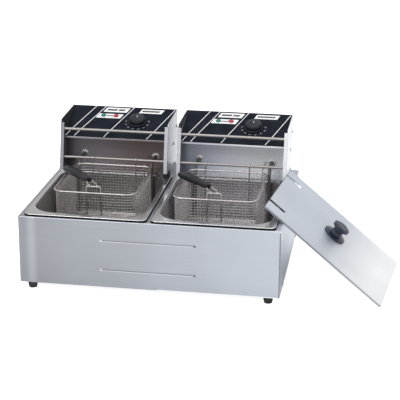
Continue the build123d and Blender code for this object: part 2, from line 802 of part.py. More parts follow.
def make_grip():
    middle_size = [(near + far) / 2 + grip_swell for near, far in zip(grip_near, grip_far)]
    stations = [
        (grip_start, [size - 2 * grip_edge for size in grip_near]),
        (grip_start + grip_edge, grip_near),
        ((grip_start + grip_end) / 2, middle_size),
        (grip_end - grip_edge, grip_far),
        (grip_end, [size - 2 * grip_edge for size in grip_far]),
    ]
    sections = []
    for y, size in stations:
        section = Plane((fork_half_width, y, grip_lift(y)), x_dir=(1, 0, 0), z_dir=(0, 1, 0))
        sections.append(section * RectangleRounded(*size, min(grip_corner, size[1] / 2 - 0.5)))
    grip = loft(sections, ruled=True)
    wide = fork_grip_half_width + fork_wire + close_gap
    thick = fork_wire + close_gap
    tip = grip_start + grip_bury + thick
    fall = degrees(atan2(grip_far_rise - grip_near_rise, grip_end - grip_start))
    pocket = block(-wide, wide, -grip_edge, tip - grip_start, -thick, thick)
    grip -= Pos(fork_half_width, grip_start, grip_near_rise) * Rot(fall, 0, 0) * pocket
    hang = Pos(fork_half_width, grip_end - hang_hole_inset, 0)
    return fold_place(grip - hang * upright(hang_hole_radius, -grip_end, grip_end))


# Lid: drawn flat with its slotted end at the origin and its top at z = 0, then leaned on the casing.
# Its lower end stands on the ground, and its near edge crosses the casing's rounded top edge.
tilt = radians(lid_tilt)
turn = radians(lid_turn)
lid_top_end = lid_length * sin(tilt) + lid_edge * cos(tilt) + seat_gap


def lean(shape):
    crossing = atan2(sin(tilt), cos(tilt) * cos(turn))
    edge_x = casing_width / 2 - casing_edge
    edge_z = deck - casing_edge
    reach = edge_x * sin(crossing) + edge_z * cos(crossing) + casing_edge + seat_gap
    start_x = (reach - (lid_top_end - lid_edge * cos(tilt)) * cos(crossing)) / sin(crossing)
    x = start_x + lid_edge * sin(tilt) * cos(turn) + lid_width / 2 * sin(turn)
    return Pos(x, lid_middle_y, lid_top_end) * Rot(0, 0, -lid_turn) * Rot(0, lid_tilt, 0) * shape


def make_lid():
    outline = RectangleRounded(lid_length, lid_width, lid_corner)
    lid = Pos(lid_length / 2, 0, -lid_edge) * extrude(outline, lid_edge)
    lid = fillet(lid.faces().sort_by(Axis.Z)[-1].edges(), 2)
    inner = RectangleRounded(lid_length - 2 * lid_sheet, lid_width - 2 * lid_sheet, lid_corner - lid_sheet)
    lid -= Pos(lid_length / 2, 0, -lid_edge) * extrude(inner, lid_edge - lid_sheet)
    for y in (-lid_slot_x, lid_slot_x):
        lid -= block(-1, lid_slot_length, y - lid_slot_width / 2, y + lid_slot_width / 2, -lid_edge - 1, 1)
    lid -= Pos(lid_length / 2, 0, 0) * upright(lid_screw_radius + seat_gap, -lid_edge, lid_edge)
    return lean(lid)


def make_lid_knob():
    low, high = close_gap, lid_knob_height
    profile = Polyline(
        (0, low), (lid_knob_base, low), (lid_knob_base, low + 3), (lid_knob_waist + 3, low + 7),
        (lid_knob_waist, low + 12), (lid_knob_waist + 1, high - 10), (lid_knob_top, high - 7),
        (lid_knob_top, high - 2), (lid_knob_top - 5, high), (0, high), close=True,
    )
    knob = revolve(Plane.XZ * make_face(profile), Axis.Z)
    knob -= upright(lid_screw_radius + close_gap, -1, lid_screw_length + 2)
    return lean(Pos(lid_length / 2, 0, 0) * knob)


def make_lid_screw():
    under = -lid_sheet - close_gap
    head = upright(2 * lid_screw_radius, under - 3, under)
    return lean(Pos(lid_length / 2, 0, 0) * (head + upright(lid_screw_radius, under, lid_screw_length)))


save(make_casing(), "casing")
save(make_tray(), "base_tray")
save(make_tray_screws(), "tray_screws")
save(group(Pos(x, y, 0) * make_foot() for x, y in feet_places), "feet")
save(group(Pos(x, y, 0) * make_foot_screw() for x, y in feet_places), "foot_screws")
tank = make_tank()
head_pieces = {
    "head_shell": make_shell(),
    "head_front": make_inner_front(),
    "head_base": make_head_base(),
    "control_panel": make_panel(),
    "dial_knob": make_knob(),
    "thermostat_shaft": make_shaft(),
    "thermostat": make_thermostat(),
    "thermostat_bulb": make_bulb(),
    "heating_element": make_element(),
    "element_nuts": make_nuts(),
    "element_strap": make_strap(),
    "terminal_block": make_terminal_block(),
    "safety_switch": make_safety_switch(),
    "overheat_cutout": make_cut_out(),
    "cord_gland": make_gland(),
    "gland_nut": make_gland_nut(),
    "head_screws": make_head_screws(),
    "carry_rod": make_rod(upper_rod),
    "basket_rod": make_rod(lower_rod),
}
for colour, place in lamp_places.items():
    head_pieces[f"{colour}_lamp"] = make_lamp(place)
basket_pieces = {
    "basket_frame": make_basket_frame(),
    "basket_mesh": make_basket_mesh(),
    "handle_fork": make_fork(),
    "handle_grip": make_grip(),
}
for side, sign in sides.items():
    save(Pos(sign * tank_spacing / 2, 0, 0) * tank, f"tank_{side}")
    for name, piece in head_pieces.items():
        save(Pos(sign * head_spacing / 2, 0, 0) * piece, f"{name}_{side}")
    for name, piece in basket_pieces.items():
        place = Pos(sign * tank_spacing / 2 + basket_shift[side], 0, 0)
        save(place * piece, f"{name}_{side}")
save(make_lid(), "tank_lid")
save(make_lid_knob(), "lid_knob")
save(make_lid_screw(), "lid_screw")
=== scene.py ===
import json
from math import atan2, pi, radians

import bpy
from mathutils import Matrix, Vector


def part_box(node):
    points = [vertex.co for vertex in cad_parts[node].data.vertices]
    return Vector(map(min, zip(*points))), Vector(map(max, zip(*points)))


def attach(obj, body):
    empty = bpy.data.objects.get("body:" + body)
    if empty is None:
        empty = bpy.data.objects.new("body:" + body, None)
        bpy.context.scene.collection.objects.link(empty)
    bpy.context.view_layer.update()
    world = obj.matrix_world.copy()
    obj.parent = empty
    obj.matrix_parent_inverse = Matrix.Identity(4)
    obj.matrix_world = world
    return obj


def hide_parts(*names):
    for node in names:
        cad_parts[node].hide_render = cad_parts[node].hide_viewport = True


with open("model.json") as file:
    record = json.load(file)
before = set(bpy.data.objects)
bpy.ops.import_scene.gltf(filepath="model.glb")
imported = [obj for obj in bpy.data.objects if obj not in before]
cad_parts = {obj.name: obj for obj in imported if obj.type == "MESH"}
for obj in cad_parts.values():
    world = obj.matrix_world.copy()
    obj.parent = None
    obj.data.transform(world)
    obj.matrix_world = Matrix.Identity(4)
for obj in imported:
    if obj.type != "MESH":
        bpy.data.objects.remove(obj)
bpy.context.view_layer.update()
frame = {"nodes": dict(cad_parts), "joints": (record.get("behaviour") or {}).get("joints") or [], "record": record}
nodes = frame["nodes"]
record = frame["record"]
sides = ("left", "right")
joints = {joint["name"]: joint for joint in frame["joints"]}
print("frame loaded:", len(nodes), "nodes")


studio = {
    "cameraPlace": (0.5035, -2.7152, 1.0872),
    "cameraTurn": (71.1616, -0.3658, 9.0477),
    "lens": 117.15,
    "sensor": 36,
    "floorSize": 30,
    "floorGlow": 0.86,
    "floorMirrored": 0.15,  # share of its glow that metal shows
    "floorColour": (0.9, 0.9, 0.9, 1),
    "skyLight": 0.65,
    "lampsAim": (0, 0, 0.1),
}
lamps = {
    "keyLight": {"place": (-1.6, -2.2, 2.6), "size": 2.6, "power": 62},
    "fillLight": {"place": (2.4, -1.6, 1.6), "size": 2.8, "power": 17},
    "topLight": {"place": (0.2, 0.6, 3.0), "size": 2.8, "power": 19},
}


def arithmetic(tree, operation, first, second=0.0):
    node = tree.nodes.new("ShaderNodeMath")
    node.operation = operation
    for socket, value in zip(node.inputs, (first, second)):
        if isinstance(value, (int, float)):
            socket.default_value = value
        else:
            tree.links.new(value, socket)
    return node.outputs[0]


def vectorMath(tree, operation, first, second=None):
    # operations that give a vector have it at "Vector", and a length or a dot product is at "Value"
    node = tree.nodes.new("ShaderNodeVectorMath")
    node.operation = operation
    tree.links.new(first, node.inputs[0])
    if second is not None:
        tree.links.new(second, node.inputs[1])
    return node.outputs["Value" if operation in ("LENGTH", "DOT_PRODUCT") else "Vector"]


def makeCamera():
    data = bpy.data.cameras.new("camera")
    data.lens = studio["lens"]
    data.sensor_width = studio["sensor"]
    camera = bpy.data.objects.new("camera", data)
    camera.location = studio["cameraPlace"]
    camera.rotation_euler = [radians(angle) for angle in studio["cameraTurn"]]
    bpy.context.scene.collection.objects.link(camera)
    bpy.context.scene.camera = camera


def makeLamps():
    for name, lamp in lamps.items():
        data = bpy.data.lights.new(name, "AREA")
        data.shape = "DISK"
        data.size = lamp["size"]
        data.energy = lamp["power"]
        light = bpy.data.objects.new(name, data)
        light.location = lamp["place"]
        aim = Vector(studio["lampsAim"]) - light.location
        light.rotation_euler = aim.to_track_quat("-Z", "Y").to_euler()
        bpy.context.scene.collection.objects.link(light)


def seenDirectly(tree, mirrored=1.0):
    # 1 on rays from the camera or through glass, and a share of that in a mirror-like surface
    path = tree.nodes.new("ShaderNodeLightPath")
    inMirror = arithmetic(tree, "MULTIPLY", path.outputs["Is Glossy Ray"], mirrored)
    seen = arithmetic(tree, "MAXIMUM", path.outputs["Is Camera Ray"], inMirror)
    return arithmetic(tree, "MAXIMUM", seen, path.outputs["Is Transmission Ray"])


def makeSky():
    world = bpy.data.worlds.new("sky")
    world.use_nodes = True
    tree = world.node_tree
    tree.nodes.clear()
    output = tree.nodes.new("ShaderNodeOutputWorld")
    mix = tree.nodes.new("ShaderNodeMixShader")
    light = tree.nodes.new("ShaderNodeBackground")
    light.inputs["Strength"].default_value = studio["skyLight"]
    white = tree.nodes.new("ShaderNodeBackground")
    white.inputs["Strength"].default_value = 1
    for node in (light, white):
        node.inputs["Color"].default_value = (1, 1, 1, 1)
    tree.links.new(seenDirectly(tree), mix.inputs[0])
    tree.links.new(light.outputs[0], mix.inputs[1])
    tree.links.new(white.outputs[0], mix.inputs[2])
    tree.links.new(mix.outputs[0], output.inputs[0])
    bpy.context.scene.world = world


def makeFloor():
    bpy.ops.object.select_all(action="DESELECT")
    bpy.ops.mesh.primitive_plane_add(size=studio["floorSize"], location=(0, 0, 0))
    floor = bpy.context.object
    floor.name = "floor"
    material = bpy.data.materials.new("paleFloor")
    material.use_nodes = True
    tree = material.node_tree
    tree.nodes.clear()
    output = tree.nodes.new("ShaderNodeOutputMaterial")
    matt = tree.nodes.new("ShaderNodeBsdfDiffuse")
    matt.inputs["Color"].default_value = studio["floorColour"]
    glow = tree.nodes.new("ShaderNodeEmission")
    seen = seenDirectly(tree, studio["floorMirrored"])
    tree.links.new(arithmetic(tree, "MULTIPLY", seen, studio["floorGlow"]), glow.inputs["Strength"])
    both = tree.nodes.new("ShaderNodeAddShader")
    tree.links.new(matt.outputs[0], both.inputs[0])
    tree.links.new(glow.outputs[0], both.inputs[1])
    tree.links.new(both.outputs[0], output.inputs[0])
    floor.data.materials.append(material)


makeCamera()
makeLamps()
makeSky()
makeFloor()
bpy.context.scene.view_settings.view_transform = "Standard"
print("studio ready")


noiseMiddle = (0.33, 0.67)
edgeTurn = (0.02, 0.3)  # how far a face turns away before it counts as an edge
sheetLook = {
    "scratchDetail": 3.0,
    "patchScale": 7.0,
    "patchDetail": 2.0,
    "patches": 0.08,
    "roughSpread": (0.8, 1.25),
}
skinLook = {
    "stippleDetail": 2.0,
    "handledScale": 45.0,
    "handledDetail": 3.0,
    "roughSpread": (1.15, 0.85),
}


def newGroup(name, inputs, outputs):
    group = bpy.data.node_groups.new(name, "ShaderNodeTree")
    for label, kind, value in inputs:
        socket = group.interface.new_socket(label, in_out="INPUT", socket_type=kind)
        socket.default_value = value
    for label, kind in outputs:
        group.interface.new_socket(label, in_out="OUTPUT", socket_type=kind)
    return group, group.nodes.new("NodeGroupInput"), group.nodes.new("NodeGroupOutput")


def noiseIn(tree, vector, scale, detail):
    noise = tree.nodes.new("ShaderNodeTexNoise")
    noise.inputs["Scale"].default_value = scale
    noise.inputs["Detail"].default_value = detail
    tree.links.new(vector, noise.inputs["Vector"])
    return noise.outputs["Fac"]


def spread(tree, value, low, high):
    # noise gathers round a half, so its middle third is opened out
    ranged = tree.nodes.new("ShaderNodeMapRange")
    ranged.inputs["From Min"].default_value = noiseMiddle[0]
    ranged.inputs["From Max"].default_value = noiseMiddle[1]
    tree.links.new(value, ranged.inputs["Value"])
    for label, end in (("To Min", low), ("To Max", high)):
        if isinstance(end, float):
            ranged.inputs[label].default_value = end
        else:
            tree.links.new(end, ranged.inputs[label])
    return ranged.outputs["Result"]


def scaledBy(tree, vector, value):
    # a colour made lighter or darker, or a place made finer
    scaled = tree.nodes.new("ShaderNodeVectorMath")
    scaled.operation = "SCALE"
    tree.links.new(vector, scaled.inputs[0])
    tree.links.new(value, scaled.inputs["Scale"])
    return scaled.outputs[0]


def crossFade(tree, place, given):
    # painted reflection: from one colour to the other, as a sheet does that mirrors a room with a dark and a light
    # side
    away = vectorMath(tree, "SUBTRACT", place, given.outputs["From"])
    share = vectorMath(tree, "DOT_PRODUCT", away, given.outputs["Run"])
    fade = tree.nodes.new("ShaderNodeMix")
    fade.data_type = "RGBA"
    fade.clamp_factor = True
    tree.links.new(share, fade.inputs["Factor"])
    colours = [socket for socket in fade.inputs if socket.type == "RGBA"]
    tree.links.new(given.outputs["Left"], colours[0])
    tree.links.new(given.outputs["Right"], colours[1])
    return next(socket for socket in fade.outputs if socket.type == "RGBA")


def edgeShade(tree, normal, given):
    # painted shade: cut edges, which don't face the way of the sheet, get their own shade
    facing = vectorMath(tree, "DOT_PRODUCT", normal, given.outputs["Facing"])
    full = vectorMath(tree, "LENGTH", given.outputs["Facing"])
    ranged = tree.nodes.new("ShaderNodeMapRange")
    ranged.inputs["From Min"].default_value = edgeTurn[0]
    ranged.inputs["From Max"].default_value = edgeTurn[1]
    ranged.inputs["To Min"].default_value = 1.0
    tree.links.new(given.outputs["Edge"], ranged.inputs["To Max"])
    tree.links.new(arithmetic(tree, "SUBTRACT", full, facing), ranged.inputs["Value"])
    return ranged.outputs["Result"]


def faceShade(tree, normal, given):
    # painted light and shade: how light the faces square to x, y and z are against each other
    squared = vectorMath(tree, "MULTIPLY", normal, normal)
    return vectorMath(tree, "DOT_PRODUCT", squared, given.outputs["Faces"])


def sheenBand(tree, place, given):
    # an upright band of painted highlight or painted shade, lighter or darker than the rest of the sheet
    split = tree.nodes.new("ShaderNodeSeparateXYZ")
    tree.links.new(place, split.inputs[0])
    away = arithmetic(tree, "SUBTRACT", split.outputs["X"], given.outputs["Sheen At"])
    ranged = tree.nodes.new("ShaderNodeMapRange")
    ranged.interpolation_type = "SMOOTHSTEP"
    ranged.inputs["To Max"].default_value = 1.0
    tree.links.new(arithmetic(tree, "ABSOLUTE", away), ranged.inputs["Value"])
    tree.links.new(given.outputs["Sheen Width"], ranged.inputs["From Max"])
    tree.links.new(arithmetic(tree, "ADD", 1.0, given.outputs["Sheen"]), ranged.inputs["To Min"])
    return ranged.outputs["Result"]


def makeGrainGroup():
    # fine parallel scratches of brushed sheet, with soft darker patches, and painted reflection, shade and
    # highlight in its colour
    group, given, out = newGroup(
        "brushedGrain",
        [
            ("Stretch", "NodeSocketVector", (6, 6, 900)),
            ("Left", "NodeSocketColor", (0.5, 0.5, 0.5, 1)),
            ("Right", "NodeSocketColor", (0.5, 0.5, 0.5, 1)),
            ("From", "NodeSocketVector", (-0.28, 0, 0)),
            ("Run", "NodeSocketVector", (1.8, 0, 0)),
            ("Facing", "NodeSocketVector", (0, 0, 0)),
            ("Edge", "NodeSocketFloat", 1.0),
            ("Faces", "NodeSocketVector", (1, 1, 1)),
            ("Sheen", "NodeSocketFloat", 0.0),
            ("Sheen At", "NodeSocketFloat", 0.0),
            ("Sheen Width", "NodeSocketFloat", 0.02),
            ("Contrast", "NodeSocketFloat", 0.1),
            ("Patches", "NodeSocketFloat", 0.06),
            ("Rough", "NodeSocketFloat", 0.3),
        ],
        [("Colour", "NodeSocketColor"), ("Roughness", "NodeSocketFloat"), ("Height", "NodeSocketFloat")],
    )
    coordinates = group.nodes.new("ShaderNodeTexCoord")
    place, normal = coordinates.outputs["Object"], coordinates.outputs["Normal"]
    stretched = vectorMath(group, "MULTIPLY", place, given.outputs["Stretch"])
    metal = crossFade(group, place, given)
    scratches = noiseIn(group, stretched, 1.0, sheetLook["scratchDetail"])
    patches = noiseIn(group, place, sheetLook["patchScale"], sheetLook["patchDetail"])
    grain = spread(group, scratches, arithmetic(group, "SUBTRACT", 1.0, given.outputs["Contrast"]), 1.0)
    soft = spread(group, patches, arithmetic(group, "SUBTRACT", 1.0, given.outputs["Patches"]), 1.0)
    shade = arithmetic(group, "MULTIPLY", grain, soft)
    shade = arithmetic(group, "MULTIPLY", shade, edgeShade(group, normal, given))
    shade = arithmetic(group, "MULTIPLY", shade, sheenBand(group, place, given))
    shade = arithmetic(group, "MULTIPLY", shade, faceShade(group, normal, given))
    group.links.new(scaledBy(group, metal, shade), out.inputs["Colour"])
    varied = spread(group, scratches, *sheetLook["roughSpread"])
    rough = arithmetic(group, "MULTIPLY", given.outputs["Rough"], varied)
    group.links.new(rough, out.inputs["Roughness"])
    group.links.new(scratches, out.inputs["Height"])
    return group


def makeSkinGroup():
    # the faint stipple and handling marks of a moulded surface
    group, given, out = newGroup(
        "mouldedSkin",
        [
            ("Plastic", "NodeSocketColor", (0.03, 0.03, 0.03, 1)),
            ("Stipple", "NodeSocketFloat", 900.0),
            ("Marks", "NodeSocketFloat", 0.2),
            ("Rough", "NodeSocketFloat", 0.4),
        ],
        [("Colour", "NodeSocketColor"), ("Roughness", "NodeSocketFloat"), ("Height", "NodeSocketFloat")],
    )
    place = group.nodes.new("ShaderNodeTexCoord").outputs["Object"]
    scaled = scaledBy(group, place, given.outputs["Stipple"])
    stipple = noiseIn(group, scaled, 1.0, skinLook["stippleDetail"])
    handled = noiseIn(group, place, skinLook["handledScale"], skinLook["handledDetail"])
    low = arithmetic(group, "SUBTRACT", 1.0, given.outputs["Marks"])
    high = arithmetic(group, "ADD", 1.0, given.outputs["Marks"])
    shade = spread(group, handled, low, high)
    group.links.new(scaledBy(group, given.outputs["Plastic"], shade), out.inputs["Colour"])
    varied = spread(group, handled, *skinLook["roughSpread"])
    rough = arithmetic(group, "MULTIPLY", given.outputs["Rough"], varied)
    group.links.new(rough, out.inputs["Roughness"])
    group.links.new(stipple, out.inputs["Height"])
    return group


grainGroup = makeGrainGroup()
skinGroup = makeSkinGroup()


def newMaterial(name):
    material = bpy.data.materials.new(name)
    material.use_nodes = True
    return material, material.node_tree, material.node_tree.nodes["Principled BSDF"]


def finishFrom(material, tree, shader, group, settings, relief):
    effect = tree.nodes.new("ShaderNodeGroup")
    effect.node_tree = group
    for label, value in settings.items():
        effect.inputs[label].default_value = value
    tree.links.new(effect.outputs["Colour"], shader.inputs["Base Color"])
    tree.links.new(effect.outputs["Roughness"], shader.inputs["Roughness"])
    bump = tree.nodes.new("ShaderNodeBump")
    bump.inputs["Strength"].default_value = relief[0]
    bump.inputs["Distance"].default_value = relief[1]
    tree.links.new(effect.outputs["Height"], bump.inputs["Height"])
    tree.links.new(bump.outputs[0], shader.inputs["Normal"])
    return material


# how fine the scratches are along each axis, for each way that a sheet is brushed
along = {"x": (4, 700, 700), "level": (5, 5, 900), "y": (700, 4, 700), "none": (300, 300, 300)}
# where a fade of painted reflection between two colours starts, and how fast it runs along each axis
acrossAll = ((-0.28, 0, 0), (1.8, 0, 0))
acrossLeftHead = ((-0.25, 0, 0), (6, 0, 0))
acrossRightHead = ((0.03, 0, 0), (6, 0, 0))
# on the lid the fade is painted light, lighter to the right
fallingLid = ((0.385, -0.03, 0), (10.5, -1.4, 0))
noSheen = (0, 0, 0.02)
# sheen is an upright band of painted highlight or painted shade: how much lighter or darker it is, where across it
# stands and how wide it is
# each pair of colours holds the ends of a painted reflection that fades across the fryer
# faces paints light and shade onto the faces square to x, y and z
metals = {
    "casing_steel": {
        "colours": ((0.315, 0.328, 0.358), (0.54, 0.575, 0.63)),
        "run": "level", "contrast": 0.1, "rough": 0.36,
        "faces": (1.6, 1, 0.82), "sheen": (0.3, -0.251, 0.016),
    },
    "tray_steel": {
        "colours": ((0.3, 0.3, 0.31), (0.36, 0.37, 0.38)),
        "run": "x", "contrast": 0.12, "rough": 0.42,
    },
    "screw_steel": {
        "colours": ((0.5, 0.5, 0.52), (0.62, 0.62, 0.64)),
        "run": "none", "contrast": 0.08, "rough": 0.22,
    },
    "tank_steel": {
        "colours": ((0.42, 0.41, 0.41), (0.6, 0.6, 0.62)),
        "run": "x", "contrast": 0.1, "rough": 0.16, "metallic": 0.85, "faces": (1.25, 1.2, 0.8),
    },
    "head_steel": {
        "colours": ((0.27, 0.27, 0.3), (0.84, 0.865, 0.9)),
        "run": "level", "contrast": 0.15, "rough": 0.3, "faces": (1.2, 1.05, 1),
    },
    "fitting_steel": {
        "colours": ((0.42, 0.42, 0.43), (0.5, 0.5, 0.51)),
        "run": "none", "contrast": 0.1, "rough": 0.35,
    },
    "fitting_brass": {
        "colours": ((0.6, 0.57, 0.5), (0.72, 0.71, 0.7)),
        "run": "none", "contrast": 0.1, "rough": 0.3, "metallic": 0.6,
    },
    "capillary_steel": {
        "colours": ((0.36, 0.33, 0.31), (0.45, 0.42, 0.4)),
        "run": "none", "contrast": 0.15, "rough": 0.3,
    },
    "element_steel": {
        "colours": ((0.2, 0.18, 0.17), (0.24, 0.22, 0.21)),
        "run": "none", "contrast": 0.3, "rough": 0.45,
    },
    "rod_steel": {
        "colours": ((0.36, 0.335, 0.32), (0.42, 0.4, 0.39)),
        "run": "y", "contrast": 0.1, "rough": 0.42, "metallic": 0.8,
    },
    "wire_chrome": {
        "colours": ((0.42, 0.39, 0.39), (0.56, 0.52, 0.53)),
        "run": "none", "contrast": 0.2, "rough": 0.25,
    },
    "lid_steel": {
        "colours": ((0.58, 0.615, 0.67), (0.88, 0.89, 0.9)),
        "run": "x", "contrast": 0.08, "rough": 0.5, "fade": fallingLid,
        # edge is painted shade on the lid's turned-down lips
        "facing": joints["lid_take_off"]["axis"], "edge": 0.5,
    },
}
# shine is left out where the plastic has the usual gloss
plastics = {
    "foot_rubber": {
        "colour": (0.02, 0.02, 0.021),
        "stipple": 600, "marks": 0.3, "rough": 0.7,
    },
    "panel_black": {
        "colour": (0.012, 0.015, 0.022),
        "stipple": 1400, "marks": 0.2, "rough": 0.5, "shine": 0.02,
    },
    "knob_black": {
        "colour": (0.008, 0.012, 0.017),
        "stipple": 1200, "marks": 0.25, "rough": 0.35, "shine": 0.2,
    },
    "terminal_plastic": {
        "colour": (0.6, 0.58, 0.52),
        "stipple": 900, "marks": 0.1, "rough": 0.55,
    },
    "switch_plastic": {
        "colour": (0.05, 0.05, 0.05),
        "stipple": 900, "marks": 0.2, "rough": 0.5,
    },
    "gland_plastic": {
        "colour": (0.02, 0.02, 0.022),
        "stipple": 900, "marks": 0.2, "rough": 0.5,
    },
    "grip_black": {
        "colour": (0.009, 0.009, 0.011),
        "stipple": 700, "marks": 0.3, "rough": 0.4, "shine": 0.12,
    },
    "lid_knob_black": {
        "colour": (0.012, 0.018, 0.038),
        "stipple": 900, "marks": 0.25, "rough": 0.3, "shine": 0.4,
    },
    "lamp_green": {
        "colour": (0.0, 0.16, 0.09),
        "stipple": 300, "marks": 0.15, "rough": 0.12,
    },
    "lamp_red": {
        "colour": (0.4, 0.006, 0.03),
        "stipple": 300, "marks": 0.15, "rough": 0.12,
    },
}
# strength and depth of the fine bump
reliefs = {"metal": (0.06, 0.0002), "plastic": (0.1, 0.0002), "print": (0.03, 0.0001)}


def makeMetal(name, look):
    material, tree, shader = newMaterial(name)
    shader.inputs["Metallic"].default_value = look.get("metallic", 1)
    sheen, sheenAt, sheenWidth = look.get("sheen", noSheen)
    fadeFrom, fadeRun = look.get("fade", acrossAll)
    settings = {
        "Stretch": along[look["run"]],
        "Left": (*look["colours"][0], 1),
        "Right": (*look["colours"][1], 1),
        "Facing": look.get("facing", (0, 0, 0)),
        "Edge": look.get("edge", 1.0),
        "Faces": look.get("faces", (1, 1, 1)),
        "Sheen": sheen,
        "Sheen At": sheenAt,
        "Sheen Width": sheenWidth,
        "From": fadeFrom,
        "Run": fadeRun,
        "Contrast": look["contrast"],
        "Patches": sheetLook["patches"],
        "Rough": look["rough"],
    }
    return finishFrom(material, tree, shader, grainGroup, settings, reliefs["metal"])


def makePlastic(name, look):
    material, tree, shader = newMaterial(name)
    shader.inputs["Specular IOR Level"].default_value = look.get("shine", 0.5)
    settings = {
        "Plastic": (*look["colour"], 1),
        "Stipple": look["stipple"],
        "Marks": look["marks"],
        "Rough": look["rough"],
    }
    return finishFrom(material, tree, shader, skinGroup, settings, reliefs["plastic"])


# the wall under each panel in painted reflection colours, lighter under the right head than under the left, with a
# painted dark end where it mirrors the wing
recesses = {
    "left": {
        "colours": ((0.35, 0.335, 0.38), (0.25, 0.195, 0.195)),
        "fade": acrossLeftHead,
        "sheen": (-0.65, -0.262, 0.024),
    },
    "right": {
        "colours": ((0.58, 0.62, 0.72), (0.95, 0.97, 1.0)),
        "fade": acrossRightHead,
        "sheen": (-0.65, 0.011, 0.021),
    },
}
recessLook = {"run": "level", "contrast": 0.12, "rough": 0.42, "metallic": 0.1}
finishes = {name: makeMetal(name, look) for name, look in metals.items()}
finishes.update({name: makePlastic(name, look) for name, look in plastics.items()})
for part in record["subparts"]:
    for slot in nodes[part["node"]].material_slots:
        slot.material = finishes[part["material_slot"]]
for side in sides:
    recess = makeMetal(f"recessSteel_{side}", {**recessLook, **recesses[side]})
    for slot in nodes[f"head_front_{side}"].material_slots:
        slot.material = recess
print("finishes given to", len(record["subparts"]), "nodes")


def startPiece():
    bpy.ops.object.select_all(action="DESELECT")


def selectWhere(piece, test):
    # picks vertices by place, in edit mode
    bpy.ops.object.mode_set(mode="EDIT")
    bpy.ops.mesh.select_mode(type="VERT")
    bpy.ops.mesh.select_all(action="DESELECT")
    bpy.ops.object.mode_set(mode="OBJECT")
    for vertex in piece.data.vertices:
        vertex.select = test(vertex.co)
    bpy.ops.object.mode_set(mode="EDIT")


def applyModifier(piece, kind, **settings):
    modifier = piece.modifiers.new(kind.lower(), kind)
    for name, value in settings.items():
        setattr(modifier, name, value)
    bpy.context.view_layer.objects.active = piece
    bpy.ops.object.modifier_apply(modifier=modifier.name)


def settle(piece, name, place, material, body):
    # leaves the object at the origin, with its place in its mesh
    piece.name = name
    piece.data.name = name
    piece.data.transform(place @ piece.matrix_basis)
    piece.matrix_basis = Matrix.Identity(4)
    piece.data.materials.clear()
    piece.data.materials.append(material)
    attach(piece, body)
    return piece


panelPrint = {
    "lift": 0.00005,  # from one layer of print to the next
    "thickness": 0.0002,
    "knob": (0.040, 0.066),  # across from the panel's middle and up from its lower edge
    "lean": 0.37,  # how far the labels lean to the right, for each unit of their height
    "stripeWidth": 0.0019,
    "stripes": (  # lower end, bend and upper end
        ((-0.117, 0.002), (-0.107, 0.032), (-0.0675, 0.1275)),
        ((-0.097, 0.002), (-0.085, 0.032), (-0.0445, 0.1275)),
        ((-0.027, 0.002), (-0.016, 0.031), (0.0235, 0.1275)),
        ((0.073, 0.002), (0.084, 0.027), (0.1205, 0.1225)),
    ),
    "labels": {  # left, right, lower and upper edge
        "longLabel": (-0.0485, 0.0070, 0.1020, 0.1200),
        "lampLabel": (-0.062, -0.004, 0.0775, 0.0945),
        "shortLabel": (0.0365, 0.0900, 0.1025, 0.1185),
    },
    "bars": {
        "longBarLeft": (-0.0415, -0.0175, 0.1075, 0.1145),
        "longBarRight": (-0.0145, 0.0010, 0.1075, 0.1145),
        "shortBar": (0.0425, 0.0845, 0.1075, 0.1138),
        "lampBar": (-0.0385, -0.0215, 0.0845, 0.0885),
    },
    "numbers": (60, 80, 100, 120, 140, 160, 180, 200),
    "numberRadius": 0.0270,
    "numberSize": 0.0044,
    "numberFrom": -185,  # degrees
    "numberTo": 10,
}
printLook = {"Stipple": 2000, "Marks": 0.05, "Rough": 0.3}


def makePrint(name, colour):
    material, tree, shader = newMaterial(name)
    settings = {"Plastic": (*colour, 1), **printLook}
    return finishFrom(material, tree, shader, skinGroup, settings, reliefs["print"])


whitePrint = makePrint("whitePrint", (0.82, 0.83, 0.84))
greyPrint = makePrint("greyPrint", (0.035, 0.04, 0.055))
palePrint = makePrint("palePrint", (0.42, 0.46, 0.48))


def panelMatrix(side):
    # x across the head from its middle, y up the slope from the panel's lower edge, z out of the panel
    joint = joints[f"knob_turn_{side}"]
    out = -Vector(joint["axis"])
    across = Vector((1, 0, 0))
    up = out.cross(across)
    knobX, knobUp = panelPrint["knob"]
    start = Vector(joint["pos_m"]) - across * knobX - up * knobUp
    turned = Matrix((across, up, out)).transposed().to_4x4()
    return Matrix.Translation(start) @ turned


def thicken(piece):
    applyModifier(piece, "SOLIDIFY", thickness=panelPrint["thickness"], offset=1)


def makeStripe(line, width):
    # a printed line with one bend, through three places on the panel
    (x0, y0), (x1, y1), (x2, y2) = line
    startPiece()
    bpy.ops.mesh.primitive_plane_add(size=1, location=(0, 0, 0))
    stripe = bpy.context.object
    bpy.ops.object.mode_set(mode="EDIT")
    bpy.ops.transform.resize(value=(width, y1 - y0, 1))
    bpy.ops.transform.translate(value=(x0, (y0 + y1) / 2, 0))
    middle = (y0 + y1) / 2
    selectWhere(stripe, lambda place: place.y > middle)
    bpy.ops.transform.translate(value=(x1 - x0, 0, 0))
    bpy.ops.mesh.extrude_region_move(TRANSFORM_OT_translate={"value": (x2 - x1, y2 - y1, 0)})
    bpy.ops.object.mode_set(mode="OBJECT")
    thicken(stripe)
    return stripe


def makeSlantedLabel(size, lean):
    # a field whose short sides lean with the stripes
    x0, x1, y0, y1 = size
    startPiece()
    bpy.ops.mesh.primitive_plane_add(size=1, location=(0, 0, 0))
    label = bpy.context.object
    bpy.ops.object.mode_set(mode="EDIT")
    bpy.ops.transform.resize(value=(x1 - x0, y1 - y0, 1))
    bpy.ops.transform.translate(value=((x0 + x1) / 2, (y0 + y1) / 2, 0))
    middle = (y0 + y1) / 2
    selectWhere(label, lambda place: place.y > middle)
    bpy.ops.transform.translate(value=(lean * (y1 - y0), 0, 0))
    bpy.ops.object.mode_set(mode="OBJECT")
    thicken(label)
    return label


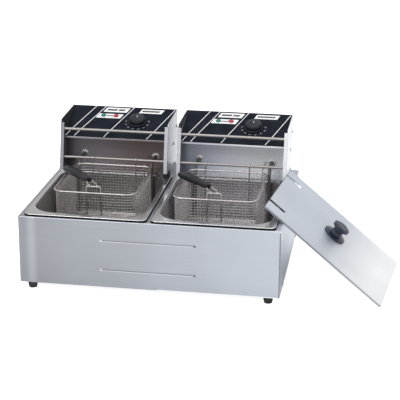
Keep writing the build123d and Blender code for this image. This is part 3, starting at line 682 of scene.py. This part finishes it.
def makeNumber(number, angle):
    # a number of the dial, with its foot towards the knob
    startPiece()
    bpy.ops.object.text_add(location=(0, 0, 0))
    text = bpy.context.object
    text.data.body = str(number)
    text.data.size = panelPrint["numberSize"]
    text.data.align_x = "CENTER"
    text.data.align_y = "CENTER"
    text.data.extrude = panelPrint["thickness"] / 2
    bpy.ops.object.convert(target="MESH")
    printed = bpy.context.object
    knobX, knobUp = panelPrint["knob"]
    turn = Matrix.Rotation(radians(angle), 4, "Z")
    out = Matrix.Translation((panelPrint["numberRadius"], 0, panelPrint["thickness"] / 2))
    upright = Matrix.Rotation(radians(-90), 4, "Z")
    printed.data.transform(Matrix.Translation((knobX, knobUp, 0)) @ turn @ out @ upright)
    return printed


def joinPieces(pieces):
    startPiece()
    for piece in pieces:
        piece.select_set(True)
    bpy.context.view_layer.objects.active = pieces[0]
    bpy.ops.object.join()
    return bpy.context.object


def printPanel(side):
    place = panelMatrix(side) @ Matrix.Translation((0, 0, panelPrint["lift"]))
    above = place @ Matrix.Translation((0, 0, panelPrint["lift"]))
    body = f"head_{side}"
    stripes = [makeStripe(line, panelPrint["stripeWidth"]) for line in panelPrint["stripes"]]
    settle(joinPieces(stripes), f"panelStripes_{side}", place, whitePrint, body)
    for name, size in panelPrint["labels"].items():
        label = makeSlantedLabel(size, panelPrint["lean"])
        settle(label, f"{name}_{side}", above, whitePrint, body)
    for name, size in panelPrint["bars"].items():
        bar = makeSlantedLabel(size, panelPrint["lean"])
        higher = above @ Matrix.Translation((0, 0, panelPrint["lift"]))
        settle(bar, f"{name}_{side}", higher, greyPrint, body)
    numbers = panelPrint["numbers"]
    start = panelPrint["numberFrom"]
    step = (panelPrint["numberTo"] - start) / (len(numbers) - 1)
    printed = [makeNumber(number, start + step * order) for order, number in enumerate(numbers)]
    settle(joinPieces(printed), f"dialNumbers_{side}", place, palePrint, body)


for side in sides:
    printPanel(side)
print("panels printed")


knob = {
    "verts": 60,
    "flutes": 30,
    "fluteShare": 0.25,  # of the step between flutes, to either side of a flute's middle
    "fluteScale": 0.965,
    "edgeRound": 0.0004,
    "profile": (  # radius, and height above the panel
        (0.0218, 0.0008),
        (0.0218, 0.0028),
        (0.0210, 0.0038),
        (0.0202, 0.0042),
        (0.0192, 0.0100),
        (0.0176, 0.0124),
        (0.0140, 0.0137),
        (0.0070, 0.0142),
    ),
    "fluteFrom": 0.003,
    "fluteTo": 0.0110,
    "pointerFrom": 0.0010,
    "pointerTo": 0.0075,
    "pointerWidth": 0.0020,
    "pointerLevel": 0.0141,
}


def makeKnob(side):
    # a round knob with a skirt and shallow flutes
    radius, level = knob["profile"][0]
    startPiece()
    bpy.ops.mesh.primitive_circle_add(
        vertices=knob["verts"], radius=radius, fill_type="NGON", location=(0, 0, 0)
    )
    piece = bpy.context.object
    bpy.ops.object.mode_set(mode="EDIT")
    bpy.ops.transform.translate(value=(0, 0, level))
    for after, height in knob["profile"][1:]:
        share = after / radius
        bpy.ops.mesh.extrude_region_move(TRANSFORM_OT_translate={"value": (0, 0, height - level)})
        bpy.ops.transform.resize(value=(share, share, 1), center_override=(0, 0, height))
        radius, level = after, height
    step = 2 * pi / knob["flutes"]

    def inFlute(place):
        turn = atan2(place.y, place.x) / step
        inBand = knob["fluteFrom"] < place.z < knob["fluteTo"]
        return inBand and abs(turn - round(turn)) < knob["fluteShare"]

    selectWhere(piece, inFlute)
    inward = knob["fluteScale"]
    bpy.ops.transform.resize(value=(inward, inward, 1), center_override=(0, 0, 0))
    bpy.ops.mesh.select_all(action="SELECT")
    bpy.ops.mesh.normals_make_consistent(inside=False)
    bpy.ops.object.mode_set(mode="OBJECT")
    applyModifier(piece, "BEVEL", width=knob["edgeRound"], segments=2)
    knobX, knobUp = panelPrint["knob"]
    place = panelMatrix(side) @ Matrix.Translation((knobX, knobUp, 0))
    settle(piece, f"roundKnob_{side}", place, finishes["knob_black"], f"knob_{side}")
    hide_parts(f"dial_knob_{side}")
    low, high = knob["pointerFrom"], knob["pointerTo"]
    stripe = makeStripe(((0, low), (0, (low + high) / 2), (0, high)), knob["pointerWidth"])
    place = place @ Matrix.Translation((0, 0, knob["pointerLevel"]))
    settle(stripe, f"knobPointer_{side}", place, palePrint, f"knob_{side}")


for side in sides:
    makeKnob(side)
print("knobs made")


trims = {
    "shadowDrop": 0.0048,  # from the tank's top down to the painted shadow's lower edge
    "shadowHeight": 0.0036,
    "shadowOut": 0.0002,
    "corner": 0.014,
    "cornerSteps": 8,
    "noseHeight": 0.003,
    "sheet": 0.0003,
    "softPart": 5,  # a strip's edges are rounded by its thickness over this
}
# a painted shadow under the tank's rim
shadowLook = {"colour": (0.006, 0.006, 0.008), "stipple": 500, "marks": 0.2, "rough": 0.8, "shine": 0.05}
# a painted highlight for the bright edges
highlightEdgeLook = {
    "colours": ((0.9, 0.89, 0.89), (0.95, 0.95, 0.96)),
    "run": "x", "contrast": 0.06, "rough": 0.4, "metallic": 0.1,
}
# a painted shade for the dark lines on ribs, bends and wings
shadeLineLook = {
    "colours": ((0.19, 0.2, 0.225), (0.2, 0.21, 0.235)),
    "run": "x", "contrast": 0.1, "rough": 0.5, "metallic": 0.4,
}
# a painted highlight for the light lines and dots on the ribs
highlightLineLook = {
    "colours": ((0.55, 0.56, 0.6), (0.7, 0.72, 0.76)),
    "run": "x", "contrast": 0.1, "rough": 0.35, "metallic": 0.6,
}
shadowBlack = makePlastic("shadowBlack", shadowLook)
highlightEdgeSteel = makeMetal("highlightEdgeSteel", highlightEdgeLook)
shadeLineSteel = makeMetal("shadeLineSteel", shadeLineLook)
highlightLineSteel = makeMetal("highlightLineSteel", highlightLineLook)


def makeSeam(side):
    # a painted shadow: the dark line between the tank's turned-down rim and the deck
    low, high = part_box(f"tank_{side}")
    width = high.x - low.x + 2 * trims["shadowOut"]
    depth = high.y - low.y + 2 * trims["shadowOut"]
    base = high.z - trims["shadowDrop"]
    startPiece()
    bpy.ops.mesh.primitive_plane_add(size=1, location=(0, 0, 0))
    seam = bpy.context.object
    bpy.ops.object.mode_set(mode="EDIT")
    bpy.ops.transform.resize(value=(width, depth, 1))
    bpy.ops.transform.translate(value=((low.x + high.x) / 2, (low.y + high.y) / 2, base))
    bpy.ops.mesh.delete(type="ONLY_FACE")
    bpy.ops.mesh.select_all(action="SELECT")
    bpy.ops.mesh.bevel(offset=trims["corner"], segments=trims["cornerSteps"], affect="VERTICES")
    bpy.ops.mesh.select_all(action="SELECT")
    bpy.ops.mesh.extrude_region_move(TRANSFORM_OT_translate={"value": (0, 0, trims["shadowHeight"])})
    bpy.ops.object.mode_set(mode="OBJECT")
    applyModifier(seam, "SOLIDIFY", thickness=trims["sheet"], offset=0)
    settle(seam, f"rimShadowStrip_{side}", Matrix.Identity(4), shadowBlack, f"tank_{side}")


def makeNose(side):
    # the folded edge below the control panel, a real fold whose bright colour is a painted highlight
    low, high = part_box(f"control_panel_{side}")
    startPiece()
    bpy.ops.mesh.primitive_cube_add(size=1, location=(0, 0, 0))
    nose = bpy.context.object
    bpy.ops.object.mode_set(mode="EDIT")
    bpy.ops.transform.resize(value=(high.x - low.x, trims["sheet"], trims["noseHeight"]))
    bpy.ops.transform.translate(value=((low.x + high.x) / 2, low.y, low.z - trims["noseHeight"] / 2))
    bpy.ops.object.mode_set(mode="OBJECT")
    settle(nose, f"noseEdge_{side}", Matrix.Identity(4), highlightEdgeSteel, f"head_{side}")


def makeStrip(name, ends, size, material, body):
    # a thin line along a sheet, from one end to the other
    start, end = Vector(ends[0]), Vector(ends[1])
    startPiece()
    bpy.ops.mesh.primitive_cube_add(size=1, location=(0, 0, 0))
    strip = bpy.context.object
    bpy.ops.object.mode_set(mode="EDIT")
    bpy.ops.transform.resize(value=(size[0], size[1], (end - start).length))
    bpy.ops.mesh.subdivide(number_cuts=1)
    bpy.ops.object.mode_set(mode="OBJECT")
    applyModifier(strip, "BEVEL", width=min(size) / trims["softPart"], segments=1)
    turn = Vector((0, 0, 1)).rotation_difference(end - start).to_matrix().to_4x4()
    place = Matrix.Translation((start + end) / 2) @ turn
    settle(strip, name, place, material, body)


beads = {
    "levels": (0.0545, 0.1205),
    "half": 0.100,  # half a rib's length
    "shadeUp": 0.0009,
    "glintDown": 0.0010,
    "height": 0.0017,
    "dot": 0.0030,
    "dotVerts": 20,
}


def makeDot(name, place, material):
    # a painted highlight or painted shade on the round end of a pressed rib
    startPiece()
    bpy.ops.mesh.primitive_cylinder_add(
        vertices=beads["dotVerts"], radius=beads["dot"], depth=2 * trims["sheet"], location=(0, 0, 0)
    )
    dot = bpy.context.object
    applyModifier(dot, "BEVEL", width=trims["sheet"] / 2, segments=1)
    turned = Matrix.Translation(place) @ Matrix.Rotation(radians(90), 4, "X")
    settle(dot, name, turned, material, "root")


def markBeads():
    # painted shade and painted highlight along the two ribs pressed in the casing's front, and at their round ends
    front = cadCasing[0].y
    half = beads["half"]
    size = (beads["height"], trims["sheet"])
    lines = (("beadShade", beads["shadeUp"], shadeLineSteel), ("beadGlint", -beads["glintDown"], highlightLineSteel))
    dots = (("beadDotLeft", -half, highlightLineSteel), ("beadDotRight", half, shadeLineSteel))
    for number, level in enumerate(beads["levels"], 1):
        for name, lift, material in lines:
            ends = ((-half, front, level + lift), (half, front, level + lift))
            makeStrip(f"{name}_{number}", ends, size, material, "root")
        for name, x, material in dots:
            makeDot(f"{name}_{number}", (x, front, level), material)


casingEdges = {
    "beadOut": 0.001,  # the ribs stand this far out of the front
    "width": 0.0015,
    "gap": 0.0012,
    "clearBelow": 0.001,  # the bend's line stops short of the sheet's edges
    "clearAbove": 0.004,
    "hemHeight": 0.0018,
    "hemFrom": 0.02,  # right of the fryer's middle
    "hemEnd": 0.005,
}


def markCasing():
    # the painted shade on the front right bend and the painted highlight along the bottom edge
    low, high = cadCasing
    front = low.y + casingEdges["beadOut"]
    bend = high.x - casingEdges["gap"]
    out = front + trims["sheet"] / 2
    foot, top = low.z + casingEdges["clearBelow"], high.z - casingEdges["clearAbove"]
    ends = ((bend, out, foot), (bend, out, top))
    size = (casingEdges["width"], trims["sheet"])
    makeStrip("bendShade", ends, size, shadeLineSteel, "root")
    z = low.z + casingEdges["hemHeight"] / 2
    ends = ((casingEdges["hemFrom"], front, z), (high.x - casingEdges["hemEnd"], front, z))
    size = (casingEdges["hemHeight"], trims["sheet"])
    makeStrip("hemGlint", ends, size, highlightEdgeSteel, "root")


# y and z of the lower and the upper end of a wing's front edge
wingLine = {"foot": (0.0680, 0.184), "tip": (0.0905, 0.288), "behind": 0.0022, "width": 0.0022}


def markWing(side):
    # the shadow line between each wing and its folded front edge
    low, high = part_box(f"head_shell_{side}")
    for name, x in (("Left", low.x), ("Right", high.x)):
        ends = [(x, y + wingLine["behind"], z) for y, z in (wingLine["foot"], wingLine["tip"])]
        size = (trims["sheet"], wingLine["width"])
        makeStrip(f"wingShade{name}_{side}", ends, size, shadeLineSteel, f"head_{side}")


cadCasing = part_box("casing")
markBeads()
markCasing()
for side in sides:
    makeSeam(side)
    makeNose(side)
    markWing(side)
print("seams and edges made")


nuts = {
    "across": 0.0145,
    "flatsToCorners": 1.732,
    "height": 0.0066,
    "bore": 0.0042,
    "edgeRound": 0.0008,
    "washer": 0.0088,
    "washerVerts": 32,
    "washerThick": 0.0012,
    "washerRound": 0.0003,
}
# lighter than the other steel, a painted highlight on the nuts
nutLook = {
    "colours": ((0.8, 0.8, 0.82), (0.92, 0.93, 0.95)),
    "run": "none", "contrast": 0.15, "rough": 0.22, "metallic": 0.8,
}
nutSteel = makeMetal("nutSteel", nutLook)


def makeNut(x, back, z):
    # a hexagon nut with its washer, on the element's threaded end
    startPiece()
    bpy.ops.mesh.primitive_circle_add(
        vertices=6, radius=nuts["across"] / nuts["flatsToCorners"], fill_type="NGON", location=(0, 0, 0)
    )
    nut = bpy.context.object
    bpy.ops.object.mode_set(mode="EDIT")
    bpy.ops.mesh.extrude_region_move(TRANSFORM_OT_translate={"value": (0, 0, nuts["height"])})
    bpy.ops.mesh.inset(thickness=nuts["across"] / 2 - nuts["bore"])
    bpy.ops.mesh.extrude_region_move(TRANSFORM_OT_translate={"value": (0, 0, -nuts["height"] / 2)})
    bpy.ops.mesh.select_all(action="SELECT")
    bpy.ops.mesh.normals_make_consistent(inside=False)
    bpy.ops.object.mode_set(mode="OBJECT")
    applyModifier(nut, "BEVEL", width=nuts["edgeRound"], segments=2)
    startPiece()
    thick = nuts["washerThick"]
    bpy.ops.mesh.primitive_cylinder_add(
        vertices=nuts["washerVerts"], radius=nuts["washer"], depth=thick, location=(0, 0, thick / 2)
    )
    washer = bpy.context.object
    applyModifier(washer, "BEVEL", width=nuts["washerRound"], segments=2)
    nut = joinPieces([nut, washer])
    nut.data.transform(Matrix.Translation((x, back, z)) @ Matrix.Rotation(radians(90), 4, "X"))
    return nut


def makeNuts(side):
    low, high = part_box(f"element_nuts_{side}")
    half = (high.z - low.z) / 2
    z = (low.z + high.z) / 2
    pair = [makeNut(x, high.y, z) for x in (low.x + half, high.x - half)]
    place = Matrix.Identity(4)
    nut = settle(joinPieces(pair), f"hexNuts_{side}", place, nutSteel, f"head_{side}")
    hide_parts(f"element_nuts_{side}")


for side in sides:
    makeNuts(side)
print("nuts made")


grip = {
    "aside": 0.0098,  # sideways from the hinge's own place
    "stations": (  # distance from the hinge, width and thickness
        (0.0220, 0.0115, 0.0075),
        (0.0235, 0.0155, 0.0105),
        (0.045, 0.0175, 0.0120),
        (0.080, 0.0215, 0.0140),
        (0.110, 0.0265, 0.0155),
        (0.138, 0.0270, 0.0150),
        (0.1535, 0.0220, 0.0125),
        (0.1580, 0.0140, 0.0080),
    ),
    "rise": (0.0067, -0.003),  # height over the hinge at the near and at the far end
    "corner": 0.3,  # share of the near end's thickness
    "rounding": 3,
}


def makeGrip(side):
    # a moulded grip, thickest near its far end, with its corners rounded off
    joint = joints[f"handle_fold_{side}"]
    stations = grip["stations"]
    first, last = stations[0][0], stations[-1][0]
    startPiece()
    bpy.ops.mesh.primitive_plane_add(size=1, location=(0, 0, 0))
    piece = bpy.context.object
    bpy.ops.object.mode_set(mode="EDIT")
    bpy.ops.transform.resize(value=(stations[0][1], stations[0][2], 1))
    bpy.ops.mesh.bevel(offset=grip["corner"] * stations[0][2], segments=1, affect="VERTICES")
    for before, after in zip(stations, stations[1:]):
        share = (after[0] - before[0]) / (last - first)
        lift = share * (grip["rise"][1] - grip["rise"][0])
        bpy.ops.mesh.extrude_region_move(TRANSFORM_OT_translate={"value": (0, lift, after[0] - before[0])})
        bpy.ops.transform.resize(value=(after[1] / before[1], after[2] / before[2], 1))
    bpy.ops.mesh.select_all(action="SELECT")
    bpy.ops.mesh.normals_make_consistent(inside=False)
    bpy.ops.object.mode_set(mode="OBJECT")
    applyModifier(piece, "SUBSURF", levels=grip["rounding"], render_levels=grip["rounding"])
    bpy.ops.object.shade_smooth()
    axis = Vector(joint["axis"])
    skew = 2 * atan2(axis.y, axis.x)
    # the grip is built up z, and lies along y
    upright = Matrix(((1, 0, 0, 0), (0, 0, 1, 0), (0, 1, 0, 0), (0, 0, 0, 1)))
    start = Matrix.Translation((grip["aside"], first, grip["rise"][0]))
    place = Matrix.Translation(joint["pos_m"]) @ Matrix.Rotation(skew, 4, "Z") @ start @ upright
    piece.data.transform(place)
    bpy.ops.object.mode_set(mode="EDIT")
    bpy.ops.mesh.select_all(action="SELECT")
    bpy.ops.mesh.normals_make_consistent(inside=False)
    bpy.ops.object.mode_set(mode="OBJECT")
    material = finishes["grip_black"]
    settle(piece, f"smoothGrip_{side}", Matrix.Identity(4), material, f"handle_{side}")
    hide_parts(f"handle_grip_{side}")


for side in sides:
    makeGrip(side)
print("grips moulded")


weave = {
    "pitch": 0.0064,
    "wire": 0.0010,
    "corner": 0.020,
    "cornerSteps": 5,
    "cornerCut": 0.58,  # how much of the corner's radius the floor's cut takes off each side
    "inset": 0.0007,
}
weaveLook = {
    "colours": ((0.56, 0.52, 0.51), (0.78, 0.74, 0.75)),
    "run": "none", "contrast": 0.2, "rough": 0.3, "metallic": 0.7,
}
weaveSteel = makeMetal("weaveSteel", weaveLook)


def makeWeave(side):
    # the walls are a net of quads, whose edges become wires
    low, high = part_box(f"basket_mesh_{side}")
    inset = Vector((weave["inset"], weave["inset"], 0))
    low, high = low + inset, high - inset
    size = high - low
    startPiece()
    bpy.ops.mesh.primitive_plane_add(size=1, location=(0, 0, 0))
    basket = bpy.context.object
    bpy.ops.object.mode_set(mode="EDIT")
    bpy.ops.transform.resize(value=(size.x, size.y, 1))
    bpy.ops.transform.translate(value=((low.x + high.x) / 2, (low.y + high.y) / 2, high.z))
    bpy.ops.mesh.delete(type="ONLY_FACE")
    bpy.ops.mesh.select_all(action="SELECT")
    bpy.ops.mesh.bevel(offset=weave["corner"], segments=weave["cornerSteps"], affect="VERTICES")
    for axis in (0, 1):
        selectLong(basket, axis)
        run = size[axis] - 2 * weave["corner"]
        bpy.ops.mesh.subdivide(number_cuts=round(run / weave["pitch"]) - 1)
    rows = round(size.z / weave["pitch"])
    bpy.ops.mesh.select_all(action="SELECT")
    for row in range(rows):
        bpy.ops.mesh.extrude_region_move(TRANSFORM_OT_translate={"value": (0, 0, -size.z / rows)})
    bpy.ops.object.mode_set(mode="OBJECT")
    applyModifier(basket, "WIREFRAME", thickness=weave["wire"], use_even_offset=False, use_boundary=True)
    floor = makeWeaveFloor(low, high)
    basket = joinPieces([basket, floor])
    settle(basket, f"wovenBasket_{side}", Matrix.Identity(4), weaveSteel, f"basket_{side}")
    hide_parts(f"basket_mesh_{side}")


def selectLong(piece, axis):
    # the straight edges that run along one axis
    bpy.ops.object.mode_set(mode="EDIT")
    bpy.ops.mesh.select_mode(type="EDGE")
    bpy.ops.mesh.select_all(action="DESELECT")
    bpy.ops.object.mode_set(mode="OBJECT")
    for edge in piece.data.edges:
        run = piece.data.vertices[edge.vertices[1]].co - piece.data.vertices[edge.vertices[0]].co
        edge.select = abs(run[axis]) > 2 * weave["corner"]
    bpy.ops.object.mode_set(mode="EDIT")


def makeWeaveFloor(low, high):
    # a grid with its corners cut off, as the walls' corners are round
    size = high - low
    startPiece()
    countX, countY = round(size.x / weave["pitch"]), round(size.y / weave["pitch"])
    bpy.ops.mesh.primitive_grid_add(
        x_subdivisions=countX, y_subdivisions=countY, size=1, location=(0, 0, 0)
    )
    floor = bpy.context.object
    bpy.ops.object.mode_set(mode="EDIT")
    bpy.ops.transform.resize(value=(size.x, size.y, 1))
    bpy.ops.transform.translate(value=((low.x + high.x) / 2, (low.y + high.y) / 2, low.z + weave["wire"]))
    for cornerX, signX in ((low.x, 1), (high.x, -1)):
        for cornerY, signY in ((low.y, 1), (high.y, -1)):
            cut = Vector((cornerX + signX * weave["corner"] * weave["cornerCut"], cornerY, low.z))
            bpy.ops.mesh.select_all(action="SELECT")
            bpy.ops.mesh.bisect(plane_co=cut, plane_no=(-signX, -signY, 0), clear_outer=True)
    bpy.ops.object.mode_set(mode="OBJECT")
    applyModifier(floor, "WIREFRAME", thickness=weave["wire"], use_even_offset=False, use_boundary=True)
    return floor


for side in sides:
    makeWeave(side)
print("baskets woven")
